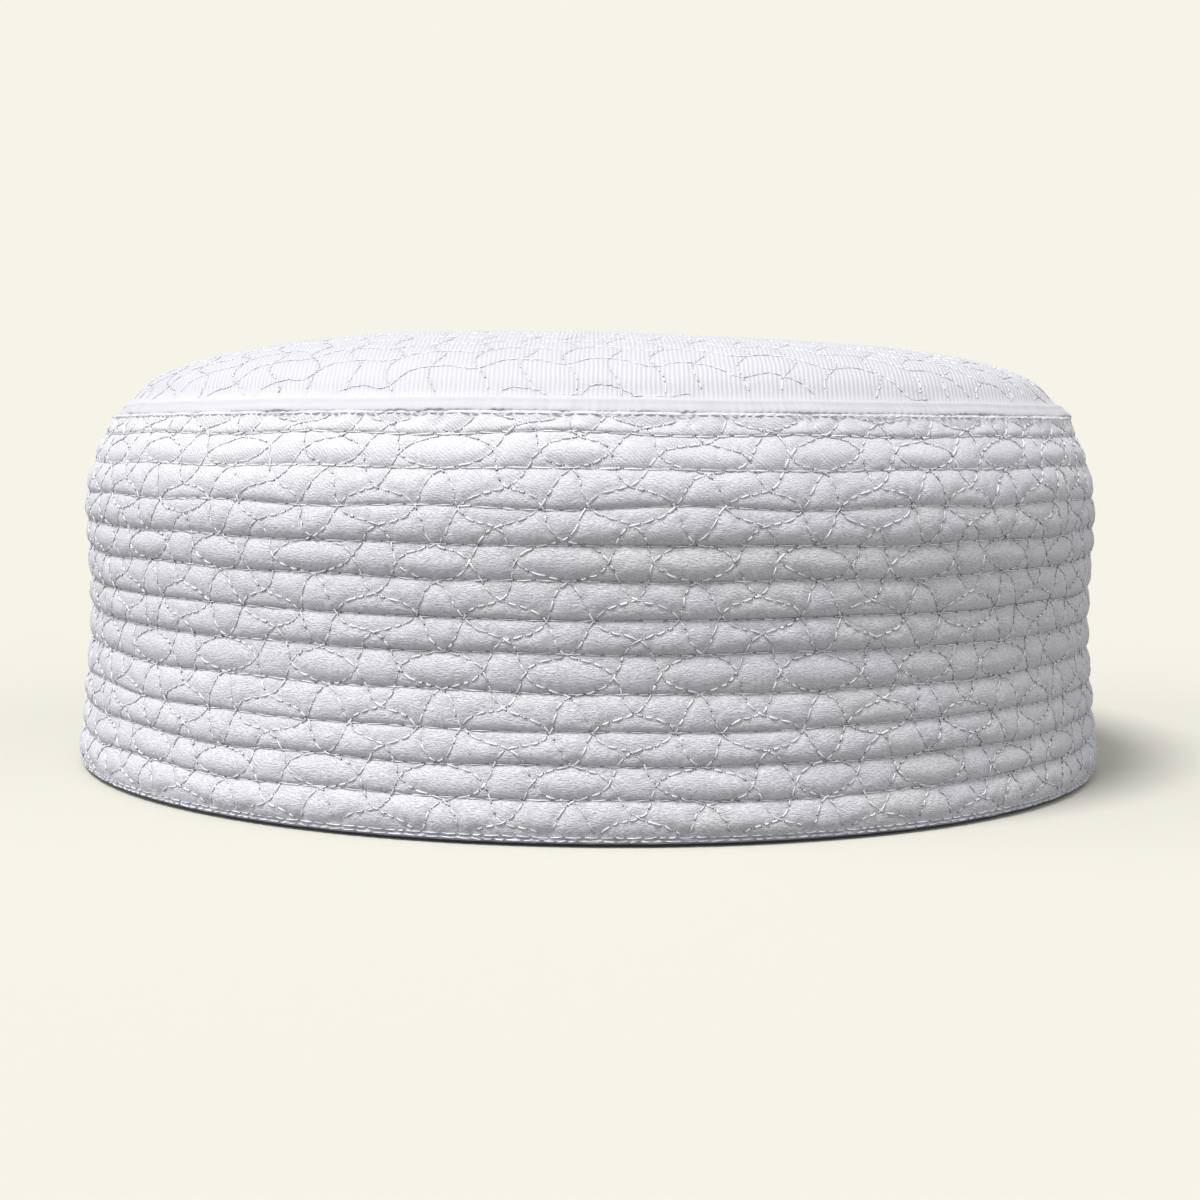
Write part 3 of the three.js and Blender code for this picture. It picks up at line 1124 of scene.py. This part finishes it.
class Board:
    """The nodes of one material, or of the air round the cap."""

    def __init__(self, owner):
        owner.use_nodes = True
        self.owner = owner
        self.tree = owner.node_tree
        self.tree.nodes.clear()

    def node(self, kind, settings, *inputs, output=0, **named):
        """A new node: its settings first, then its sockets by place and by name."""
        made = self.tree.nodes.new(kind)
        for key, value in settings.items():
            setattr(made, key, value)
        by_name = {key.replace("_", " "): value for key, value in named.items()}
        for key, value in [*enumerate(inputs), *by_name.items()]:
            if isinstance(value, Wire):
                self.tree.links.new(value.socket, made.inputs[key])
            elif value is not None:
                made.inputs[key].default_value = value
        wires = [Wire(self, socket) for socket in made.outputs]
        return wires if output is None else wires[output]

    def mixed(self, amount, low, high):
        """Two colours mixed; a Mix node has five other sockets before them."""
        skipped = [None] * 5
        settings = {"data_type": "RGBA"}
        return self.node("ShaderNodeMix", settings, amount, *skipped, low, high, output=2)

    def attribute(self, name):
        return self.node("ShaderNodeAttribute", {"attribute_name": name}, output=2)

    def place(self):
        """Object coordinates, whole and split into three."""
        where = self.node("ShaderNodeTexCoord", {}, output=3)
        return where, self.node("ShaderNodeSeparateXYZ", {}, where, output=None)

    def joined(self, x, y, z=0.0):
        return self.node("ShaderNodeCombineXYZ", {}, x, y, z)

    def noise(self, where, scale, detail, roughness=0.5):
        sockets = {"Vector": where, "Scale": scale, "Detail": detail, "Roughness": roughness}
        return self.node("ShaderNodeTexNoise", {}, **sockets)

    def finish(self, colour, roughness, height, depth, strength, **constants):
        bump = self.node("ShaderNodeBump", {}, Strength=strength, Distance=depth, Height=height)
        varying = {"Base_Color": colour, "Roughness": roughness, "Normal": bump}
        return self.put_out(self.node("ShaderNodeBsdfPrincipled", {}, **varying, **constants))

    def put_out(self, surface, kind="ShaderNodeOutputMaterial"):
        self.node(kind, {}, surface, output=None)
        return self.owner

    def as_seen(self, seen, felt):
        """One look for the camera, and another for the light that falls on the cap."""
        looked_at = self.node("ShaderNodeLightPath", {})
        return self.node("ShaderNodeMixShader", {}, looked_at, felt, seen)


def new_board(name):
    return Board(bpy.data.materials.new(name))


def solid(colour):
    return (*colour, 1.0)


def dimmed(colour, factor):
    return tuple(part * factor for part in colour) + (1.0,)


# The band's twill: from which height it shows, over how much height it comes in,
# how far apart its ridges are, how much it drifts and how deep its relief is
TWILL_FROM = 48.0 * MM
TWILL_FADE = 14.0 * MM
TWILL_PITCH = 0.70 * MM
TWILL_DRIFT = 2.4 * MM
TWILL_RELIEF = 0.16 * MM


def band_material(colours, radius):
    """Fine white twill whose threads run round the cap."""
    board = new_board("white_twill")
    where, (x, y, z) = board.place()
    along = board.node("ShaderNodeMath", {"operation": "ARCTAN2"}, x, y * -1.0) * radius
    cloth = board.joined(along, z)
    patches = board.noise(cloth, 60.0, 3.0)
    drift = board.noise(cloth, 260.0, 2.0) * TWILL_DRIFT
    slanted = board.joined(along * 0.30 - z * 0.14, z + along * 0.14 + drift)
    streaks = board.noise(slanted, 4300.0, 3.0, 0.6)
    twill = ((along * 0.9 + z + drift) * (TURN / TWILL_PITCH)).wave()
    high = ((z - TWILL_FROM) / TWILL_FADE).held()
    fuzz = board.noise(where, 4800.0, 2.0)
    # Painted shade: darker near the quilting lines and in the grooves between cords, where shade
    # falls
    deep = board.attribute("tuck") ** 2.5 * 0.15 + board.attribute("painted_shade") * 0.30
    plain = 1.0 - high * 0.45
    threads = streaks * plain * 1.6 + twill * (0.08 + high * 0.26) + fuzz * plain * 0.45
    base = board.mixed(patches, dimmed(colours.band, 0.95), dimmed(colours.band, 1.03))
    for amount, tone in (
        ((0.53 - streaks) * plain * 3.8, 0.66),
        ((streaks - 0.56) * plain * 5.5, 1.16),
        ((0.5 - fuzz) * plain, 0.68),
        ((1.0 - twill) * high * 0.14, 0.70),
    ):
        base = board.mixed(amount.held(), base, dimmed(colours.band, tone))
    base = board.mixed(deep.held(), base, solid(colours.painted_crease_shade))
    sheen = {"Sheen_Weight": 0.10, "Sheen_Roughness": 0.5}
    return board.finish(base, 0.74 - streaks * 0.2, threads, TWILL_RELIEF, 1.0, **sheen)


# The crown's cloth: from which height its ribs show, over how much height they
# come in, how far apart ribs and picks are, how much the ribs drift, and how
# deep the relief is
RIBS_FROM = 68.2 * MM
RIBS_FADE = 1.6 * MM
RIB_PITCH = 0.75 * MM
PICK_PITCH = 0.36 * MM
RIB_DRIFT = 0.5 * MM
RIB_RELIEF = 0.085 * MM


def crown_material(colours):
    """White cloth with fine ribs that run from front to back."""
    board = new_board("white_ribbed_cloth")
    where, (x, y, z) = board.place()
    drift = board.noise(where, 190.0, 2.0)
    patches = board.noise(where, 45.0, 3.0)
    ribs = ((x + drift * RIB_DRIFT) * (TURN / RIB_PITCH)).wave()
    picks = ((y + z) * (TURN / PICK_PITCH) + drift * 12.0).wave()
    fuzz = board.noise(where, 4600.0, 2.0)
    ribbed = ((z - RIBS_FROM) / RIBS_FADE).held() * 0.85
    threads = ribs * ribbed + picks * 0.12 + fuzz * 0.3
    base = board.mixed(patches, dimmed(colours.crown, 0.975), dimmed(colours.crown, 1.015))
    base = board.mixed((1.0 - ribs) ** 2.0 * ribbed * 0.6, base, dimmed(colours.crown, 0.74))
    # Painted shade: darker near the quilting lines, where the cloth is drawn in
    deep = board.attribute("tuck") ** 3.0 * 0.20
    base = board.mixed(deep.held(), base, solid(colours.painted_crease_shade))
    sheen = {"Sheen_Weight": 0.12, "Sheen_Roughness": 0.5}
    return board.finish(base, 0.78 - fuzz * 0.1, threads, RIB_RELIEF, 1.0, **sheen)


STRIP_RELIEF = 0.06 * MM


def strip_material(name, colours):
    """Plain white cloth, folded over an edge, with painted shade where it meets the floor."""
    board = new_board(name)
    where, (x, y, z) = board.place()
    patches = board.noise(where, 160.0, 3.0)
    weave = board.noise(board.joined(x, y, z * 3.0), 3400.0, 2.0)
    base = board.mixed(patches, dimmed(colours.welt, 0.94), dimmed(colours.welt, 1.02))
    base = board.mixed(weave * 0.25, base, dimmed(colours.welt, 0.82))
    # Painted shade where the hem meets the floor
    base = board.mixed(board.attribute("painted_shade"), base, solid(colours.painted_deep_shade))
    sheen = {"Sheen_Weight": 0.2, "Sheen_Roughness": 0.5}
    return board.finish(base, 0.84 - weave * 0.1, weave, STRIP_RELIEF, 0.8, **sheen)


THREAD_RELIEF = 0.02 * MM


def thread_material(colours):
    """Glossy white thread, with painted shade at its ends where it goes down its needle holes."""
    board = new_board("white_thread")
    along = board.attribute("along")
    tone = board.attribute("tone")
    # Painted shade at each stitch's ends, where it dives into its needle hole
    hole_shade = ((along.size() - board.attribute("clear")) * 12.0).held()
    ply = (along * 20.0 + tone * 6.0).wave()
    base = board.mixed(tone, dimmed(colours.thread, 0.72), dimmed(colours.thread, 1.07))
    base = board.mixed(ply * 0.15, base, dimmed(colours.thread, 0.75))
    base = board.mixed(hole_shade, base, solid(colours.painted_deep_shade))
    gloss = {"Specular_IOR_Level": 0.8, "Coat_Weight": 0.4, "Coat_Roughness": 0.25}
    return board.finish(base, 0.30 + hole_shade * 0.5, ply, THREAD_RELIEF, 0.5, **gloss)


def floor_material(colours, bounce):
    """A plain floor, as pale as it looks, that sends little light back up."""
    board = new_board("studio_floor")
    seen = board.node("ShaderNodeBsdfDiffuse", {}, Color=solid(colours.floor))
    felt = board.node("ShaderNodeBsdfDiffuse", {}, Color=solid((bounce, bounce, bounce)))
    return board.put_out(board.as_seen(seen, felt))


def material_named(name, make, *arguments):
    return bpy.data.materials.get(name) or make(*arguments)


# A lamp's name, the way its light goes, how many degrees wide it is, and its strength
Lamp = namedtuple("Lamp", "name toward spread strength")
LAMPS = (
    Lamp("overhead", (0.34, 0.34, -1.0), 20.0, 2.90),
    Lamp("left_window", (1.0, 0.25, -0.35), 55.0, 1.05),
    Lamp("right_window", (-0.9, 0.35, -0.60), 90.0, 0.80),
)

# The camera's sensor in millimetres, how near and how far it sees, and how far the
# floor reaches
SENSOR_WIDTH = 36.0
SEEN_FROM = 10 * MM
SEEN_TO = 100.0
FLOOR_REACH = 60.0


def make_floor(studio, colours):
    bm = bmesh.new()
    bmesh.ops.create_grid(bm, x_segments=1, y_segments=1, size=FLOOR_REACH)
    mesh = mesh_of(bm, "floor")
    mesh.materials.append(floor_material(colours, studio.bounce))
    floor = new_object("floor", mesh)


def make_lamp(lamp):
    data = bpy.data.lights.new(lamp.name, "SUN")
    data.energy = lamp.strength
    data.angle = math.radians(lamp.spread)
    light = new_object(lamp.name, data)
    light.rotation_euler = Vector(lamp.toward).to_track_quat("-Z", "Y").to_euler()


def make_backdrop(studio, colours):
    board = Board(bpy.data.worlds.new("studio_air"))
    seen = board.node("ShaderNodeBackground", {}, Color=solid(colours.backdrop))
    white = solid((1.0, 1.0, 1.0))
    felt = board.node("ShaderNodeBackground", {}, Color=white, Strength=studio.ambient)
    air = board.put_out(board.as_seen(seen, felt), "ShaderNodeOutputWorld")
    bpy.context.scene.world = air


def make_camera(studio):
    data = bpy.data.cameras.new("camera")
    data.lens = studio.lens
    data.sensor_width = SENSOR_WIDTH
    data.shift_x = studio.shift_across
    data.shift_y = studio.shift_up
    data.clip_start = SEEN_FROM
    data.clip_end = SEEN_TO
    camera = new_object("camera", data)
    look = Matrix.Rotation(math.pi / 2 - studio.tilt, 4, "X") @ Matrix.Rotation(studio.roll, 4, "Z")
    camera.matrix_world = Matrix.Translation((0.0, -studio.distance, studio.height)) @ look
    bpy.context.scene.camera = camera


def form_of(context):
    return KufiForm(context.scene.kufi_sizes, context.scene.kufi_quilting)


def need_node(*names):
    for name in names:
        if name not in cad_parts:
            raise RuntimeError(f"the frame has no node {name}")


class KUFI_OT_band(Operator):
    """Builds the band's outer cloth and lining in two rings"""

    bl_idname = "kufi.band"
    bl_label = "Quilted band"

    def execute(self, context):
        need_node("band")
        form = form_of(context)
        colours = context.scene.kufi_colours
        material = material_named("white_twill", band_material, colours, form.sizes.outer_radius)
        tucks = band_tucks(form, band_runs(form))
        make_band_part("band_cloth_lower", form, tucks, 0, 6, material)
        make_band_part("band_cloth_upper", form, tucks, 6, 12, material)
        return {"FINISHED"}


class KUFI_OT_crown(Operator):
    """Builds the domed crown panel"""

    bl_idname = "kufi.crown"
    bl_label = "Quilted crown"

    def execute(self, context):
        need_node("crown")
        form = form_of(context)
        material = material_named("white_ribbed_cloth", crown_material, context.scene.kufi_colours)
        make_crown(form, crown_tucks(crown_runs(form)), material)
        return {"FINISHED"}


class KUFI_OT_edges(Operator):
    """Builds the welt over the top seam and the bound hem"""

    bl_idname = "kufi.edges"
    bl_label = "Welt and hem"

    def execute(self, context):
        need_node("seam_welt", "hem_binding")
        form = form_of(context)
        colours = context.scene.kufi_colours
        for name, make in (("white_welt_strip", make_welt), ("white_hem_strip", make_hem)):
            make(form, material_named(name, strip_material, name, colours))
        return {"FINISHED"}


class KUFI_OT_quilting_thread(Operator):
    """Lays the quilting stitches on the band and on the crown"""

    bl_idname = "kufi.quilting_thread"
    bl_label = "Quilting thread"

    def execute(self, context):
        form = form_of(context)
        material = material_named("white_thread", thread_material, context.scene.kufi_colours)

        def on_band(angle, share):
            return form.band_point(angle, share, 1.0)

        def on_crown(x, y):
            return form.crown_point(x, y, 1.0)

        for name, runs, place, steps, kind, seed in (
            ("band_quilting_thread", band_runs(form), on_band, BAND_STEPS, QUILT_STITCH, 61),
            ("crown_quilting_thread", crown_runs(form), on_crown, CROWN_STEPS, CROWN_STITCH, 63),
        ):
            lay_thread(name, runs, place, steps, kind, seed, material)
        return {"FINISHED"}


class KUFI_OT_seam_thread(Operator):
    """Lays the stitches between the cords, on the hem and on the welt"""

    bl_idname = "kufi.seam_thread"
    bl_label = "Seam thread"

    def execute(self, context):
        form = form_of(context)
        material = material_named("white_thread", thread_material, context.scene.kufi_colours)

        def on_band(angle, share):
            return form.band_point(angle, share, 0.0)

        cord_runs = level_runs(form.lines[1:-1])
        hem_runs = level_runs(HEM_ROWS)
        seam_runs = level_runs([form.share_at(form.band_top - SEAM_BELOW)])
        for name, runs, place, steps, kind, seed in (
            ("cord_line_thread", cord_runs, on_band, LINE_STEPS, ROW_STITCH, 65),
            ("hem_thread", hem_runs, form.hem_point, HEM_STEPS, HEM_STITCH, 67),
            ("seam_thread", seam_runs, on_band, LINE_STEPS, SEAM_STITCH, 69),
        ):
            lay_thread(name, runs, place, steps, kind, seed, material)
        return {"FINISHED"}


class KUFI_OT_studio(Operator):
    """Sets up the floor, the lights and the camera"""

    bl_idname = "kufi.studio"
    bl_label = "Studio"

    def execute(self, context):
        colours = context.scene.kufi_colours
        studio = context.scene.kufi_studio
        make_floor(studio, colours)
        for lamp in LAMPS:
            make_lamp(lamp)
        make_backdrop(studio, colours)
        make_camera(studio)
        context.scene.view_settings.view_transform = "Standard"
        return {"FINISHED"}


OPERATORS = (
    KUFI_OT_studio,
    KUFI_OT_band,
    KUFI_OT_crown,
    KUFI_OT_edges,
    KUFI_OT_quilting_thread,
    KUFI_OT_seam_thread,
)


class KUFI_PT_panel(Panel):
    """The kufi's pieces and settings"""

    bl_idname = "KUFI_PT_panel"
    bl_label = "Kufi"
    bl_space_type = "VIEW_3D"
    bl_region_type = "UI"
    bl_category = "Kufi"

    def draw(self, context):
        for operator in OPERATORS:
            self.layout.operator(operator.bl_idname)
        for name in GROUPS:
            group = getattr(context.scene, name)
            box = self.layout.box()
            for key in group.__annotations__:
                box.prop(group, key)


GROUPS = {
    "kufi_sizes": KufiSizes,
    "kufi_quilting": KufiQuilting,
    "kufi_colours": KufiColours,
    "kufi_studio": KufiStudio,
}


def register():
    for cls in (*GROUPS.values(), *OPERATORS, KUFI_PT_panel):
        bpy.utils.register_class(cls)
    for name, group in GROUPS.items():
        setattr(bpy.types.Scene, name, PointerProperty(type=group))


def unregister():
    for name in GROUPS:
        delattr(bpy.types.Scene, name)
    for cls in (KUFI_PT_panel, *reversed(OPERATORS), *reversed(GROUPS.values())):
        bpy.utils.unregister_class(cls)


def main():
    register()
    bpy.ops.kufi.studio()
    bpy.ops.kufi.band()
    bpy.ops.kufi.crown()
    bpy.ops.kufi.edges()
    bpy.ops.kufi.quilting_thread()
    bpy.ops.kufi.seam_thread()


if __name__ == "__main__":
    main()
